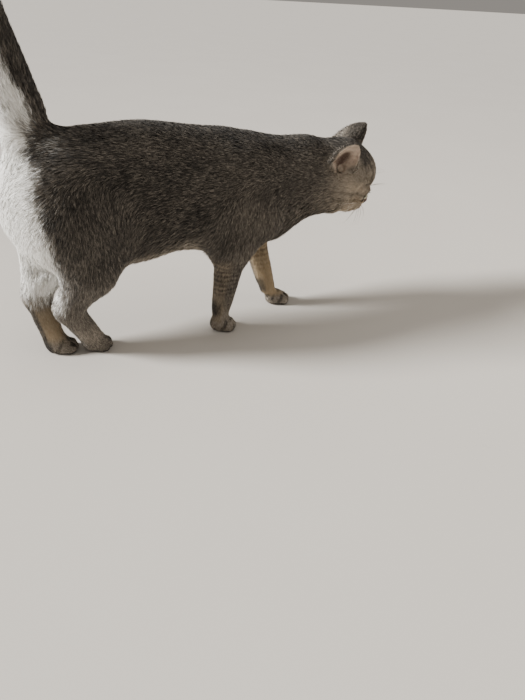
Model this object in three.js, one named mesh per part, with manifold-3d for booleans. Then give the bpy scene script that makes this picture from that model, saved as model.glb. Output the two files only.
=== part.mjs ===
// A short-haired cat in mid-step: tail raised, head lowered and turned to its right.
// Millimetres. +Z is up, the cat faces -Y and its left side is +X. Each surface is the
// outside of the coat. The body is one smoothly blended form, parted into its named
// pieces by thin cuts.
import * as THREE from 'three';
import { mergeVertices } from 'three/addons/utils/BufferGeometryUtils.js';
import Module from 'manifold-3d';

// Driving dimensions
const BACK_HEIGHT = 303;      // floor to the coat over the loins
const TRUNK_DEPTH = 166;
const TRUNK_WIDTH = 132;
const HEAD_PLACE = [-17, -284, 219];
const HEAD_TURN = -33;        // degrees, towards the cat's right
const HEAD_PITCH = 34;        // degrees, nose down
const HEAD_ROLL = 5;          // degrees, left ear up
const TAIL_ROOT = [0, 142, 280];
const TAIL_RISE = 265.3;
const TAIL_LEAN = 50;         // how far its end stands behind its root, but for the curl
const TAIL_CURL = 7.8;
const TAIL_ROOT_RADIUS = 32;
const TAIL_TIP_RADIUS = 18;
const TAIL_STEPS = 8;
const EYE_RADIUS = 11;
const EAR_HEIGHT = 54;        // from its root inside the head
const EAR_HALF_WIDTH = 23;
const EAR_THICKNESS = 3.2;
const PAW_HEIGHT = 27;        // floor to the cut above the toes
const ELBOW_HEIGHT = 112;     // floor to the cut below the elbow
const KNEE_HEIGHT = 122;      // floor to the cut through the knee
const GAP = 0.35;             // between neighbouring pieces

// Size of the cells in which each piece's surface is found
const CELL = { trunk: 22, neck: 16, head: 10.5, muzzle: 6, tail: 13, upper: 17, lower: 12.5, paw: 6.4 };

const FUR = { roughness: 0.9, metalness: 0 };
const COLOURS = {
  back: '#6c665f',
  limb: '#8b8379',
  face: '#a0958a',
  nose: '#5a413c',
  eye: '#7d8a3e',
};

const wasm = await Module();
wasm.setup();

const radians = THREE.MathUtils.degToRad;
const vector = ([x, y, z]) => new THREE.Vector3(x, y, z);

// ---------------------------------------------------------------- soft forms
// A form is a function that gives the distance of a point from a surface, negative inside.

function ellipsoid(centre, radii, turn = [0, 0, 0]) {
  const [rx, ry, rz] = radii;
  const back = new THREE.Matrix4()
    .makeRotationFromEuler(new THREE.Euler(...turn.map(radians)))
    .setPosition(vector(centre))
    .invert();
  const q = new THREE.Vector3();
  return (p) => {
    q.copy(p).applyMatrix4(back);
    const k0 = Math.hypot(q.x / rx, q.y / ry, q.z / rz);
    const k1 = Math.hypot(q.x / rx ** 2, q.y / ry ** 2, q.z / rz ** 2);
    return k1 > 0 ? (k0 * (k0 - 1)) / k1 : -Math.min(rx, ry, rz);
  };
}

// A limb segment whose radius runs from one value at a to another at b.
function taper(a, b, radiusA, radiusB) {
  const start = vector(a);
  const axis = vector(b).sub(start);
  const length = axis.length();
  axis.divideScalar(length);
  const slope = (radiusA - radiusB) / length;
  const run = Math.sqrt(1 - slope * slope);
  const q = new THREE.Vector3();
  return (p) => {
    q.copy(p).sub(start);
    const along = q.dot(axis);
    const across = Math.sqrt(Math.max(q.lengthSq() - along * along, 0));
    const seat = along - across * (slope / run);
    if (seat < 0) return q.length() - radiusA;
    if (seat > length) return q.addScaledVector(axis, -length).length() - radiusB;
    return across * run + along * slope - radiusA;
  };
}

// Joins forms with a fillet of about the given width.
function blend(width, ...forms) {
  return (p) => {
    let d = forms[0](p);
    for (let i = 1; i < forms.length; i++) {
      const e = forms[i](p);
      const h = Math.max(width - Math.abs(d - e), 0) / width;
      d = Math.min(d, e) - (h * h * width) / 4;
    }
    return d;
  };
}

// Presses a form into another with a soft rim.
function dent(width, form, tool) {
  return (p) => {
    const d = form(p);
    const e = -tool(p);
    const h = Math.max(width - Math.abs(d - e), 0) / width;
    return Math.max(d, e) + (h * h * width) / 4;
  };
}

// Moves a form from its own frame to where it sits on the cat.
function placed(matrix, form) {
  const back = matrix.clone().invert();
  const q = new THREE.Vector3();
  return (p) => form(q.copy(p).applyMatrix4(back));
}

const either = (...forms) => (p) => Math.min(...forms.map((form) => form(p)));
const grown = (form, by) => (p) => form(p) - by;
const mirrored = (side, [x, y, z]) => [side * x, y, z];

// ---------------------------------------------------------------- surfaces
// A grid cell has eight corners, numbered by their three bits, and twelve edges.
const corners = Array.from({ length: 8 }, (_, c) => [c & 1, (c >> 1) & 1, c >> 2]);
const edges = [0, 1, 2].flatMap((axis) =>
  corners.map((_, c) => [c, c | (1 << axis), axis]).filter(([from, to]) => from !== to));
const edgeAt = (corner, axis) =>
  edges.findIndex(([from, , along]) => from === corner && along === axis);

// Which sheet of the surface crosses each edge of a cell, for one pattern of corners inside.
const sheetsOf = Array.from({ length: 256 }, (_, pattern) => {
  const inside = (corner) => (pattern >> corner) & 1;
  const sheet = edges.map(([a, b], e) => (inside(a) === inside(b) ? -1 : e));
  const join = (a, b) => {
    const [keep, drop] = [sheet[a], sheet[b]];
    sheet.forEach((label, e) => { if (label === drop) sheet[e] = keep; });
  };
  for (const axis of [0, 1, 2])
    for (const level of [0, 1]) {
      const [u, w] = [(axis + 1) % 3, (axis + 2) % 3];
      const base = level << axis;
      const round = [base, base | (1 << u), base | (1 << u) | (1 << w), base | (1 << w)];
      const side = [edgeAt(base, u), edgeAt(round[1], w), edgeAt(round[3], u), edgeAt(base, w)];
      const crossed = side.filter((e) => sheet[e] >= 0);
      if (crossed.length === 2) join(...crossed);
      if (crossed.length === 4)
        round.forEach((corner, c) => { if (inside(corner)) join(side[(c + 3) % 4], side[c]); });
    }
  return sheet;
});

// The surface of a form inside a box: one vertex for each sheet of it in a cell, slid onto
// the surface, and one quad round each grid edge that it crosses.
function surfaceOf(form, box, cell) {
  const margin = cell * 2.5;
  const low = box.min.clone().subScalar(margin);
  const size = box.max.clone().sub(low).addScalar(margin);
  const n = size.toArray().map((s) => Math.ceil(s / cell) + 1);
  const stride = [1, n[0], n[0] * n[1]];
  const at = (i, j, k) => i + j * stride[1] + k * stride[2];
  const closed = (p) => Math.max(form(p), box.distanceToPoint(p) - cell * 0.6);
  const p = new THREE.Vector3();
  const value = new Float32Array(n[0] * n[1] * n[2]);
  for (let k = 0; k < n[2]; k++)
    for (let j = 0; j < n[1]; j++)
      for (let i = 0; i < n[0]; i++) {
        p.set(low.x + i * cell, low.y + j * cell, low.z + k * cell);
        value[at(i, j, k)] = closed(p);
      }

  const patternAt = (c) => corners.reduce((bits, [a, b, d], corner) =>
    bits | ((value[c + a + b * stride[1] + d * stride[2]] < 0 ? 1 : 0) << corner), 0);
  const vertexAt = new Map();
  const positions = [];
  for (let k = 0; k < n[2] - 1; k++)
    for (let j = 0; j < n[1] - 1; j++)
      for (let i = 0; i < n[0] - 1; i++) {
        const c = at(i, j, k);
        const sheets = sheetsOf[patternAt(c)];
        for (const sheet of new Set(sheets)) {
          if (sheet < 0) continue;
          const sum = new THREE.Vector3();
          let crossings = 0;
          edges.forEach(([from, to], e) => {
            if (sheets[e] !== sheet) return;
            const [f, t] = [from, to].map((corner) => {
              const [a, b, d] = corners[corner];
              return value[c + a + b * stride[1] + d * stride[2]];
            });
            sum.add(vector(corners[from]).lerp(vector(corners[to]), f / (f - t)));
            crossings++;
          });
          sum.divideScalar(crossings).add(vector([i, j, k])).multiplyScalar(cell).add(low);
          slideOnto(closed, sum, cell * 0.4);
          vertexAt.set(c * 12 + sheet, positions.length / 3);
          positions.push(sum.x, sum.y, sum.z);
        }
      }

  const index = [];
  for (let k = 1; k < n[2] - 1; k++)
    for (let j = 1; j < n[1] - 1; j++)
      for (let i = 1; i < n[0] - 1; i++)
        for (let axis = 0; axis < 3; axis++) {
          const here = at(i, j, k);
          const inside = value[here] < 0;
          if (inside === value[here + stride[axis]] < 0) continue;
          const [u, w] = [(axis + 1) % 3, (axis + 2) % 3];
          const quad = [[0, 0], [1, 0], [1, 1], [0, 1]].map(([a, b]) => {
            const c = here - a * stride[u] - b * stride[w];
            const edge = edgeAt((a << u) | (b << w), axis);
            return vertexAt.get(c * 12 + sheetsOf[patternAt(c)][edge]);
          });
          if (!inside) quad.reverse();
          index.push(quad[0], quad[1], quad[2], quad[0], quad[2], quad[3]);
        }
  const geometry = new THREE.BufferGeometry();
  geometry.setAttribute('position', new THREE.Float32BufferAttribute(positions, 3));
  geometry.setIndex(index);
  return geometry;
}

function slideOnto(form, point, most) {
  const h = 0.05;
  const start = point.clone();
  const slope = new THREE.Vector3();
  for (let round = 0; round < 3; round++) {
    const d = form(point);
    for (const axis of ['x', 'y', 'z']) {
      const beside = point.clone();
      beside[axis] += h;
      slope[axis] = (form(beside) - d) / h;
    }
    point.addScaledVector(slope, -d / Math.max(slope.lengthSq(), 0.25));
  }
  const moved = point.clone().sub(start);
  if (moved.length() > most) point.copy(start).add(moved.setLength(most));
}

// ---------------------------------------------------------------- solids

function solid(geometry) {
  const bare = geometry.clone();
  for (const name of Object.keys(bare.attributes))
    if (name !== 'position') bare.deleteAttribute(name);
  const merged = mergeVertices(bare, 1e-4);
  return new wasm.Manifold(new wasm.Mesh({
    numProp: 3,
    vertProperties: merged.attributes.position.array,
    triVerts: new Uint32Array(merged.index.array),
  }));
}

function geometryOf(made) {
  const mesh = made.getMesh();
  const geometry = new THREE.BufferGeometry();
  geometry.setAttribute('position', new THREE.BufferAttribute(mesh.vertProperties, 3));
  geometry.setIndex(new THREE.BufferAttribute(mesh.triVerts, 1));
  return geometry;
}

// A cutting block, by its size and its middle.
const block = (size, centre) => new THREE.BoxGeometry(...size).translate(...centre);

// A block longer than the cat that fills the space beyond a plane through a point.
const FAR = 1000;
function beyond(point, direction, shift = 0) {
  const geometry = new THREE.BoxGeometry(FAR, FAR, FAR);
  const facing = new THREE.Quaternion().setFromUnitVectors(
    new THREE.Vector3(0, 0, 1), vector(direction).normalize());
  geometry.translate(0, 0, FAR / 2 + shift);
  geometry.applyQuaternion(facing);
  geometry.translate(...point);
  return geometry;
}

function blockAround(box) {
  const size = box.getSize(new THREE.Vector3());
  const centre = box.getCenter(new THREE.Vector3());
  return block(size.toArray(), centre.toArray());
}

const bodyOf = (form, box, cell) => solid(surfaceOf(form, box, cell));

// The piece of a form inside a box, trimmed by further keeping and cutting blocks.
function piece(form, box, cell, keeps = [], cuts = []) {
  let made = bodyOf(form, box, cell).intersect(solid(blockAround(box)));
  for (const keep of keeps) made = made.intersect(solid(keep));
  for (const cut of cuts) made = made.subtract(solid(cut));
  return largest(made);
}

function largest(made) {
  const bodies = made.decompose();
  return bodies.reduce((a, b) => (b.volume() > a.volume() ? b : a));
}

const boxOf = (low, high) => new THREE.Box3(vector(low), vector(high));

// ---------------------------------------------------------------- trunk and neck

const middle = BACK_HEIGHT - TRUNK_DEPTH / 2;
const halfWidth = TRUNK_WIDTH / 2;

const trunkForm = blend(34,
  ellipsoid([0, -72, middle - 13], [halfWidth - 4, 104, TRUNK_DEPTH / 2], [2, 0, 0]),
  ellipsoid([0, 22, middle + 5], [halfWidth, 104, TRUNK_DEPTH / 2 - 4]),
  ellipsoid([0, 104, middle + 6], [halfWidth - 10, 74, TRUNK_DEPTH / 2 - 12]),
  ellipsoid([0, -162, middle - 32], [halfWidth - 22, 60, 68]),
  ellipsoid([0, -104, BACK_HEIGHT - 62], [36, 62, 32]),
  ellipsoid([0, 42, 165], [halfWidth - 14, 56, 38]),
  ellipsoid([0, 148, 212], [40, 44, 62]),
);

const neckForm = blend(24,
  taper([0, -150, 212], [-11, -246, 206], 58, 47),
  ellipsoid([-7, -214, 232], [38, 56, 42]),
);

// ---------------------------------------------------------------- tail

function tailPoint(t) {
  return new THREE.Vector3(
    TAIL_ROOT[0] - 3 * t,
    TAIL_ROOT[1] + TAIL_LEAN * t + TAIL_CURL * t ** 3,
    TAIL_ROOT[2] + TAIL_RISE * t);
}

function tailRadius(t) {
  return THREE.MathUtils.lerp(TAIL_ROOT_RADIUS, TAIL_TIP_RADIUS, t ** 0.8);
}

const tailForm = either(...Array.from({ length: TAIL_STEPS }, (_, step) => {
  const [a, b] = [step / TAIL_STEPS, (step + 1) / TAIL_STEPS];
  return taper(tailPoint(a).toArray(), tailPoint(b).toArray(), tailRadius(a), tailRadius(b));
}));

// ---------------------------------------------------------------- legs
// Each leg from the trunk down: the muscle on the trunk, the upper and lower segments and
// the place of the paw. Segments run from one point to another, with a radius at each.

const LEGS = {
  fore_right: {
    side: -1, joint: ELBOW_HEIGHT, reach: [-196, -48], cut: 34, slant: 0.8,
    muscle: [[-36, -120, 210], [29, 44, 60]],
    segments: [
      [[-42, -128, 180], [-43, -90, 140], 34, 27],
      [[-43, -90, 138], [-30, -78, 34], 25, 14.5],
    ],
    paw: [-31, -80], heading: -4,
  },
  fore_left: {
    side: 1, joint: ELBOW_HEIGHT, reach: [-214, -72], cut: 34, slant: 0.8,
    muscle: [[36, -134, 208], [29, 44, 60]],
    segments: [
      [[42, -148, 176], [36, -156, 140], 32, 25],
      [[36, -156, 138], [14, -180, 34], 23, 14],
    ],
    paw: [13, -198], heading: 4,
  },
  hind_right: {
    side: -1, joint: KNEE_HEIGHT, reach: [40, 230], cut: 24, slant: 0.5,
    muscle: [[-34, 108, 206], [30, 62, 72]],
    segments: [
      [[-36, 118, 190], [-38, 104, 140], 44, 33],
      [[-38, 104, 134], [-26, 138, 82], 30, 19],
      [[-26, 138, 80], [-12, 112, 24], 19, 16],
    ],
    paw: [-9, 106], heading: -4,
  },
  hind_left: {
    side: 1, joint: KNEE_HEIGHT, reach: [40, 230], cut: 24, slant: 0.5,
    muscle: [[34, 120, 206], [30, 62, 72]],
    segments: [
      [[34, 138, 190], [34, 138, 145], 44, 36],
      [[32, 142, 140], [20, 170, 86], 32, 20],
      [[20, 170, 84], [8, 160, 24], 18, 15],
    ],
    paw: [4, 153], heading: 4,
  },
};

// A paw in its own frame: toes towards -Y, its pads pressed flat where the floor cuts it off.
const toe = (x, y, r) => ellipsoid([x, y, r - 0.8], [5.6, 8.6, r]);
const pawForm = blend(4,
  ellipsoid([0, 3, 12], [14.5, 17.5, 14]),
  toe(-5.2, -13.5, 9), toe(5.2, -13.5, 9), toe(-12, -7, 8), toe(12, -7, 8),
);

function pawPlace({ paw, heading }) {
  return new THREE.Matrix4().makeRotationZ(radians(heading)).setPosition(paw[0], paw[1], 0);
}

for (const leg of Object.values(LEGS)) {
  const [upper, ...lower] = leg.segments;
  leg.haunch = blend(22, ellipsoid(...leg.muscle), taper(...upper));
  leg.limb = blend(9, ...lower.map((s) => taper(...s)), placed(pawPlace(leg), pawForm));
}

// ---------------------------------------------------------------- head
// In its own frame: nose towards -Y, crown towards +Z, origin inside the brain case.

const headPlace = new THREE.Matrix4()
  .makeRotationFromEuler(
    new THREE.Euler(radians(HEAD_PITCH), radians(-HEAD_ROLL), radians(HEAD_TURN), 'ZXY'))
  .setPosition(vector(HEAD_PLACE));

const EYE = [24, -35, 0];
const pair = (make) => [-1, 1].map(make);

const skullForm = blend(12,
  ellipsoid([0, 5, 5], [45, 46, 41]),
  ellipsoid([0, -16, 13], [35, 28, 27]),
  ...pair((s) => ellipsoid([s * 27, -4, -14], [27, 31, 27])),
  ellipsoid([0, -12, -28], [30, 32, 19]),
);
const muzzleForm = blend(7,
  ellipsoid([0, -34, -8], [13, 23, 13]),
  ...pair((s) => ellipsoid([s * 10.5, -42, -22], [13, 13, 12])),
  ellipsoid([0, -37, -34], [11, 13, 9]),
);
const faceForm = pair((s) => ellipsoid([s * 25, -41, 0], [12, 9, 8])).reduce(
  (form, hollow) => dent(8, form, hollow), blend(10, skullForm, muzzleForm));

// ---------------------------------------------------------------- ears, eyes and nose

// A cupped ear: a curved sheet with thickness, rolled most at its root.
function earGeometry(ear) {
  const across = 8;
  const up = 6;
  const { lerp } = THREE.MathUtils;
  const point = (u, t, inset) => {
    const full = u * ear.side > 0 ? ear.fullness : 0;
    const outline = lerp((1 - t ** 1.9) ** 0.72, (1 - t ** 4.5) ** 0.6, full);
    const width = EAR_HALF_WIDTH * outline + 0.5 - inset * 0.5;
    const roll = radians(lerp(lerp(96, 70, full), lerp(34, 25, full), t));
    const radius = width / Math.sin(Math.min(roll, Math.PI / 2));
    const angle = u * roll;
    return new THREE.Vector3(
      (radius - inset) * Math.sin(angle),
      (radius - inset) * (Math.cos(angle) - 1) - inset,
      EAR_HEIGHT * t - inset * 0.6 * t);
  };
  const positions = [];
  const index = [];
  for (const inset of [0, EAR_THICKNESS])
    for (let j = 0; j <= up; j++)
      for (let i = 0; i <= across; i++)
        positions.push(...point((i / across) * 2 - 1, (j / up) * 0.99, inset).toArray());
  const row = across + 1;
  const sheet = row * (up + 1);
  const quad = (a, b, c, d) => index.push(a, b, c, a, c, d);
  for (let j = 0; j < up; j++)
    for (let i = 0; i < across; i++) {
      const a = j * row + i;
      quad(a, a + row, a + row + 1, a + 1);
      quad(sheet + a, sheet + a + 1, sheet + a + row + 1, sheet + a + row);
    }
  for (let i = 0; i < across; i++) {
    const top = up * row + i;
    quad(i, i + 1, sheet + i + 1, sheet + i);
    quad(top, sheet + top, sheet + top + 1, top + 1);
  }
  for (let j = 0; j < up; j++) {
    const left = j * row;
    const right = left + across;
    quad(left, sheet + left, sheet + left + row, left + row);
    quad(right, right + row, sheet + right + row, sheet + right);
  }
  const geometry = new THREE.BufferGeometry();
  geometry.setAttribute('position', new THREE.Float32BufferAttribute(positions, 3));
  geometry.setIndex(index);
  return geometry;
}

// The ears stand on the sides of the crown, lean outwards and are turned out from the front;
// the left one is pricked further forward, and the right one's rear edge is spread open.
const EARS = {
  right: { side: -1, root: [-30, 20, 12], lean: 30, forward: 0, outward: 66, fullness: 1 },
  left: { side: 1, root: [27, 20, 16], lean: 24, forward: 11, outward: 74, fullness: 0.3 },
};
for (const ear of Object.values(EARS)) {
  const turn = new THREE.Matrix4().makeRotationFromEuler(
    new THREE.Euler(
      radians(ear.forward), radians(ear.side * ear.lean), radians(ear.side * ear.outward)));
  ear.place = headPlace.clone().multiply(turn.setPosition(...ear.root));
}

const eyeCentre = (side) => vector(mirrored(side, EYE)).applyMatrix4(headPlace);
const earHollow = (ear) => placed(ear.place, ellipsoid([0, -17, 20], [13, 13, 20]));
const headForm = placed(headPlace, faceForm);
const NOSE = { centre: [0, -55, -13], radii: [6.5, 4.5, 5] };
const noseForm = placed(headPlace, ellipsoid(NOSE.centre, NOSE.radii));

// ---------------------------------------------------------------- parting the body

const core = blend(26, trunkForm, neckForm, ...Object.values(LEGS).map((leg) => leg.haunch));
const rear = blend(9, core, tailForm);
const front = Object.values(EARS).reduce(
  (form, ear) => dent(6, form, earHollow(ear)), blend(18, rear, headForm));
const limbs = Object.values(LEGS).map((leg) => blend(20, front, leg.limb));

const NECK_CUT = { point: [-8, -222, 214], facing: [-0.35, -1, -0.1] };
const CHEST_CUT = { point: [0, -178, 214], facing: [0, -1, 0.1] };
const TAIL_CUT = { point: [0, 150, 306], facing: [0, 0.3, 1] };

const past = ({ point, facing }, shift = GAP / 2) => beyond(point, facing, shift);
const before = ({ point, facing }) =>
  beyond(point, facing.map((v) => -v), GAP / 2);

const cat = new THREE.Group();
const standing = new THREE.Group();
cat.add(standing);

function add(name, made, colour) {
  const material = new THREE.MeshStandardMaterial({ color: colour, ...FUR });
  const mesh = new THREE.Mesh(geometryOf(made), material);
  mesh.name = name;
  standing.add(mesh);
}

// The wedge that holds a leg's upper part: outwards of a slanted plane, above the joint.
function upperWedge(leg, spare) {
  const { side, reach, cut, slant, joint } = leg;
  const top = 300;
  const out = block([150, reach[1] - reach[0] + 2 * spare, top - joint],
    [side * 80, (reach[0] + reach[1]) / 2, (top + joint) / 2]);
  return solid(out).intersect(
    solid(beyond([side * cut, 0, 150], [side, 0, -slant], -spare)));
}

function withoutLegs(made) {
  return largest(Object.values(LEGS).reduce(
    (rest, leg) => rest.subtract(upperWedge(leg, GAP)), made));
}

// The muzzle's block, in the head's frame.
function muzzleBlock(spare) {
  const [width, depth, height] = [50, 60, 46].map((size) => size + 2 * spare);
  return new THREE.BoxGeometry(width, depth, height)
    .translate(0, -34 - 30, -27).applyMatrix4(headPlace);
}

const eyeBall = (side, spare) =>
  new THREE.SphereGeometry(EYE_RADIUS + spare, 11, 8).translate(...eyeCentre(side).toArray());
const faceBox = boxOf([-110, -370, 120], [70, -190, 300]);
const noseSolid = (spare) => bodyOf(grown(noseForm, spare), faceBox, 2.4);
const sockets = [eyeBall(-1, GAP), eyeBall(1, GAP)];

add('head', piece(front, faceBox, CELL.head, [past(NECK_CUT)],
  [muzzleBlock(GAP), ...sockets]), COLOURS.face);
add('muzzle', piece(front, faceBox, CELL.muzzle, [muzzleBlock(0)], sockets)
  .subtract(noseSolid(GAP)), COLOURS.face);
add('nose', noseSolid(0), COLOURS.nose);
add('neck', withoutLegs(piece(front, boxOf([-80, -290, 110], [80, -160, 300]), CELL.neck,
  [before(NECK_CUT), past(CHEST_CUT)])), COLOURS.back);
add('tail', piece(rear, boxOf([-60, 100, 270], [60, 300, 590]), CELL.tail,
  [past(TAIL_CUT)]), COLOURS.back);
add('trunk', withoutLegs(piece(front, boxOf([-100, -230, 100], [100, 240, 330]), CELL.trunk,
  [before(CHEST_CUT), before(TAIL_CUT)],
  [block([300, 300, 100], [0, 190, KNEE_HEIGHT + GAP - 50])])), COLOURS.back);
Object.entries(LEGS).forEach(([name, leg], order) => {
  const { side, reach, joint } = leg;
  const near = Math.min(0, side * 110);
  const upper = piece(limbs[order], boxOf([near, reach[0], joint], [near + 110, reach[1], 300]),
    CELL.upper).intersect(upperWedge(leg, 0));
  add(name + '_upper', largest(upper), COLOURS.limb);
  const own = blend(20, leg.haunch, leg.limb);
  const low = Math.min(side * 90, -side * 40);
  add(name + '_lower', piece(own,
    boxOf([low, reach[0] - 30, PAW_HEIGHT + GAP], [low + 130, reach[1] + 30, joint - GAP]),
    CELL.lower), COLOURS.limb);
  const [x, y] = leg.paw;
  add(name + '_paw', piece(own, boxOf([x - 30, y - 45, 0], [x + 30, y + 45, PAW_HEIGHT]),
    CELL.paw), COLOURS.limb);
});
for (const [word, ear] of Object.entries(EARS)) {
  add('ear_' + word, largest(solid(earGeometry(ear).applyMatrix4(ear.place))
    .subtract(bodyOf(grown(front, 4 * GAP), faceBox, CELL.head))), COLOURS.face);
  add('eye_' + word, solid(eyeBall(ear.side, 0)), COLOURS.eye);
}

// The origin goes to the middle of the bounding box, on the floor.
const bounds = new THREE.Box3().setFromObject(standing, true);
const centre = bounds.getCenter(new THREE.Vector3());
standing.position.set(-centre.x, -centre.y, -bounds.min.z);

export default cat;
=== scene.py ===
import math

import bpy
import numpy as np
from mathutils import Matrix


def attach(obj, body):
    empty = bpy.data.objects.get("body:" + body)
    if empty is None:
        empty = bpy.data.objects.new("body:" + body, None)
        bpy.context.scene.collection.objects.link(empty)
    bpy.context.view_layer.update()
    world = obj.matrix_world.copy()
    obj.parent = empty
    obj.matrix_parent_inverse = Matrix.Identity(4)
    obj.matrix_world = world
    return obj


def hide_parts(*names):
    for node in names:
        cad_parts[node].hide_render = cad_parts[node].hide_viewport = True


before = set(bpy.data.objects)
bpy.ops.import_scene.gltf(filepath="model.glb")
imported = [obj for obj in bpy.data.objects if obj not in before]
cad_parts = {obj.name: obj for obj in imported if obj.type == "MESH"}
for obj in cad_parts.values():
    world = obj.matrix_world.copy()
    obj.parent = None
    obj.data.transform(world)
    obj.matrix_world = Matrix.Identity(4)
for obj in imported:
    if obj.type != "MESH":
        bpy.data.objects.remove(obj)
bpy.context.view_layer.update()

import openvdb
from mathutils import Matrix, Vector

MM = 0.001

# ------------------------ driving values
# The cat faces -Y, its left side is +X and the floor is z = 0. Lengths are in
# millimetres where a name does not say otherwise; the scene itself is in metres.

CAMERA_AT = Vector((-0.6785, 0.2637, 0.4376))
CAMERA_RIGHT = Vector((-0.4587, -0.8875, 0.0434))
CAMERA_UP = Vector((0.5123, -0.2242, 0.8290))
CAMERA_LENS = 27.41

SHELL_CELL = 2.0  # cells of the coat's outer form
SEAL = 1.0  # how far that form is swollen to close the parting cuts
SKIN_CELL = 1.0  # cells of the skin
EYE_RADIUS = 11.0
LID_THICKNESS = 1.7
EYE_OPENING = (8.2, 7.2)  # half width and half height between the lids
GAZE_OUTWARD = 10  # degrees that each eye looks away from the midline
EAR_HEIGHT = 54
EAR_HALF_WIDTH = 23
EARS = {
    "right": {"side": -1, "root": (-30, 20, 12), "lean": 30, "forward": 0, "outward": 66, "fullness": 1.0},
    "left": {"side": 1, "root": (27, 20, 16), "lean": 24, "forward": 11, "outward": 74, "fullness": 0.3},
}
LEGS = ["fore_right", "fore_left", "hind_right", "hind_left"]
COAT_TRIANGLES = 1_480_000
MOST_IN_A_PIECE = 195_000
CROWD = 1.0
CLUMP_SIZE = 5.5  # tufts closer than this lean together
FLOOR_GAP = 0.15  # no tuft comes closer to the floor
THINNED_TO = 0.2  # share of the skin's faces that is left away from the head and paws
BAR_PITCH = 7.6  # from one dark bar of a foreleg to the next
WHISKER_REACH = 296  # the furthest place forward of any whisker's tip
chance = np.random.default_rng(7)


# ------------------------ places on the frame

def fetched(items, key, kind=np.float32):
    values = np.empty(len(items) * 3, kind)
    items.foreach_get(key, values)
    return values.reshape(-1, 3)


def triangles(mesh):
    mesh.calc_loop_triangles()
    return fetched(mesh.loop_triangles, "vertices", np.int32)


def node_points(node):
    return fetched(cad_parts[node].data.vertices, "co")


def spans(vectors):
    return np.linalg.norm(vectors, axis=1)


def unit(v):
    return v / np.maximum(np.linalg.norm(v, axis=-1, keepdims=True), 1e-9)


def section(node, height):
    """The middle of a node where it crosses a height."""
    points = node_points(node)
    near = np.abs(points[:, 2] - height) < 9 * MM
    middle = (points[near].min(0) + points[near].max(0)) / 2
    middle[2] = height
    return middle


def middle_of(node):
    return node_points(node).mean(0)


def head_frame():
    """The head's own axes and origin, from the places of its eyes and nose."""
    right, left, nose = (middle_of(n) for n in ("eye_right", "eye_left", "nose"))
    eye_to_nose = np.array([-20.0, -13.0])
    drop = unit(nose - (right + left) / 2)
    x = unit(left - right)
    across = np.cross(x, drop)
    a, b = unit(eye_to_nose)
    y = a * drop - b * across
    z = b * drop + a * across
    origin = (left + right) / 2 + y * 35 * MM
    return np.stack([x, y, z], 1), origin


HEAD_TURN, HEAD_AT = head_frame()


def to_head(points):
    """Points in the head's own frame, in millimetres: nose to -y, crown to +z."""
    return (points - HEAD_AT) @ HEAD_TURN / MM


def from_head(points):
    return np.asarray(points) * MM @ HEAD_TURN.T + HEAD_AT


def ear_turn(ear):
    turn = (
        Matrix.Rotation(math.radians(ear["forward"]), 3, "X")
        @ Matrix.Rotation(math.radians(ear["side"] * ear["lean"]), 3, "Y")
        @ Matrix.Rotation(math.radians(ear["side"] * ear["outward"]), 3, "Z")
    )
    return np.array(turn)


def to_ear(ear, points):
    return (to_head(points) - ear["root"]) @ ear_turn(ear)


def from_ear(ear, points):
    return from_head(points @ ear_turn(ear).T + ear["root"])


# ------------------------ soft forms
# Each gives the distance of many points from a surface, negative inside.

def ball(p, centre, radii):
    q = (p - np.asarray(centre, np.float32)) / np.asarray(radii, np.float32)
    k = spans(q)
    return k * (k - 1) / np.maximum(spans(q / radii), 1e-6)


def rod(p, a, b, radius_a, radius_b):
    a = np.asarray(a, np.float32)
    axis = np.asarray(b, np.float32) - a
    t = np.clip((p - a) @ axis / (axis @ axis), 0, 1)
    return spans(p - a - t[:, None] * axis) - (radius_a + (radius_b - radius_a) * t)


def fold(p, path, radius):
    return np.minimum.reduce([rod(p, a, b, radius, radius) for a, b in zip(path, path[1:])])


def blended(d, e, width):
    h = np.maximum(width - np.abs(d - e), 0) / width
    return np.minimum(d, e) - h * h * width / 4


def pressed(d, tool, width):
    return -blended(-d, tool, width)


def rise(x, low, high):
    t = np.clip((x - low) / (high - low), 0, 1)
    return t * t * (3 - 2 * t)


def hump(x, middle, half):
    return rise(half - np.abs(x - middle), 0, half * 0.7)


def turned(a, b, degrees):
    """Two coordinates of many points, along axes turned by an angle."""
    c, s = math.cos(math.radians(degrees)), math.sin(math.radians(degrees))
    return a * c + b * s, b * c - a * s


# ------------------------ regions of the coat
# Each region has a path that the hair follows. depth is from the skin to the tips, and
# crowd is tufts to the square millimetre.

COAT_KEYS = ("depth", "length", "width", "crowd", "lift")


def region(name, path, reach, depth, length, width, crowd, lift, piece):
    made = dict(zip(COAT_KEYS, (depth, length, width, crowd, lift)))
    return {"name": name, "path": np.array(path, float), "reach": reach * MM, "piece": piece, **made}


def leg_regions(leg):
    fore = leg.startswith("fore")
    upper, lower, paw = (f"{leg}_{part}" for part in ("upper", "lower", "paw"))
    side = 1 if leg.endswith("left") else -1
    shoulder = middle_of(upper) + np.array([side * 8, 0, 40]) * MM
    knee = section(lower, 0.108)
    ankle = section(lower, 0.032)
    heel = section(paw, 0.012)
    toes = heel + np.array([0, -20, -4]) * MM
    shin = [knee, ankle] if fore else [knee, section(lower, 0.083), ankle]
    return [
        region(leg + "_thigh", [shoulder, knee], 34 if fore else 42, 3.1, 8.5, 0.72, 1.9, 24, "trunk"),
        region(leg + "_shin", shin, 17, 1.4, 3.9 if fore else 5.4, 0.6, 3.3, 21, leg),
        region(leg + "_foot", [ankle - np.array([0, 0, 8]) * MM, heel, toes],
               15, 0.9, 2.5, 0.48, 5.4, 17, leg),
    ]


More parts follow.
